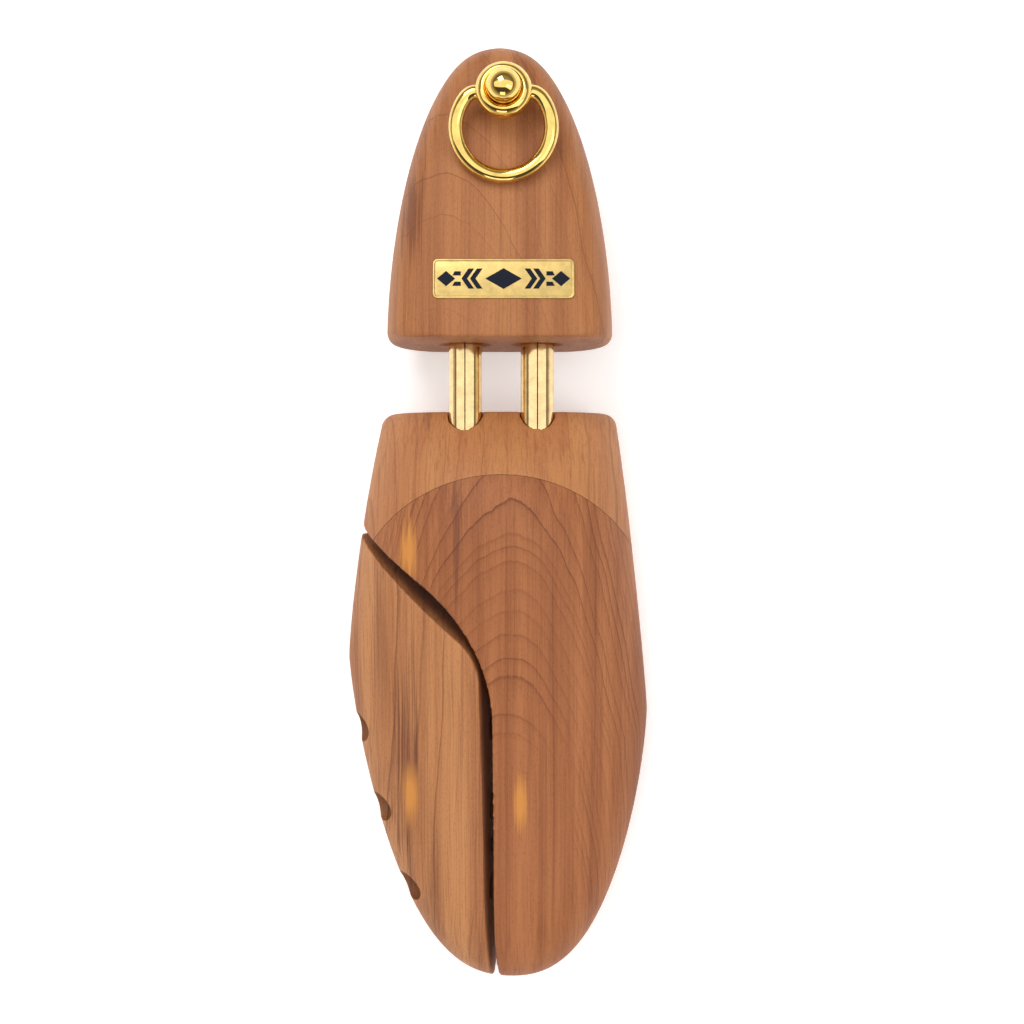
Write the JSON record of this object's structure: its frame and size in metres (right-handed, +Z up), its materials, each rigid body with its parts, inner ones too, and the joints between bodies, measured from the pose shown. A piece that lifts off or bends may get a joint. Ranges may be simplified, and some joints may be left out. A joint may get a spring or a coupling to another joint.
{
  "type": "shoe tree",
  "caption": "Sprung cedar shoe tree for a right shoe: a split forefoot and a heel block slide together on brass tubes, with a knob and pull ring on the heel.",
  "frame": {"origin": "centre of the bounding box's underside, on the surface the tree stands on", "axes": "+Y from the toe to the heel, +X to the medial side, +Z up"},
  "size_m": [0.0906, 0.28, 0.067],
  "materials": {
    "cedar_instep": "sanded, unvarnished",
    "cedar_toe": "sanded, unvarnished",
    "cedar_side": "sanded, unvarnished",
    "cedar_heel": "sanded, unvarnished",
    "brass_tube": "polished",
    "brass_knob": "polished",
    "brass_ring": "polished",
    "brass_plate": "satin",
    "brass_brad": "satin",
    "steel": "satin",
    "spring_steel": "satin",
    "enamel": "gloss"
  },
  "bodies": {
    "forefoot": {"instep_block": "cedar_instep", "toe_block": "cedar_toe", "stop_brad_lateral": "brass_brad", "stop_brad_medial": "brass_brad", "pin_brad_rear": "brass_brad", "pin_brad_front": "brass_brad", "main_spring_lateral": "spring_steel", "main_spring_medial": "spring_steel", "side_spring_rear": "spring_steel", "side_spring_front": "spring_steel"},
    "heel": {"heel_block": "cedar_heel", "tube_lateral": "brass_tube", "tube_medial": "brass_tube", "spring_seat_lateral": "steel", "spring_seat_medial": "steel", "heel_brad_lateral": "brass_brad", "heel_brad_medial": "brass_brad", "ring_knob": "brass_knob", "knob_hanger_bolt": "steel", "name_plate": "brass_plate", "plate_enamel": "enamel"},
    "side": {"side_piece": "cedar_side", "guide_pin_rear": "steel", "guide_pin_front": "steel"},
    "ring": {"pull_ring": "brass_ring"}
  },
  "joints": [
    {"name": "heel_slide", "type": "slide", "parent": "forefoot", "child": "heel", "axis": [0, -1, 0], "range_m": [0, 0.015], "stiffness_N_per_m": 1600, "springref_m": -0.01, "deforming": ["main_spring_lateral", "main_spring_medial"]},
    {"name": "side_slide", "type": "slide", "parent": "forefoot", "child": "side", "axis": [1, 0, 0], "range_m": [0, 0.0015], "stiffness_N_per_m": 1500, "springref_m": -0.004, "deforming": ["side_spring_rear", "side_spring_front"]},
    {"name": "ring_swing", "type": "hinge", "parent": "heel", "child": "ring", "pos_m": [0.0016, 0.12176, 0.05579], "axis": [-1, 0, 0], "range_deg": [0, 150]}
  ]
}
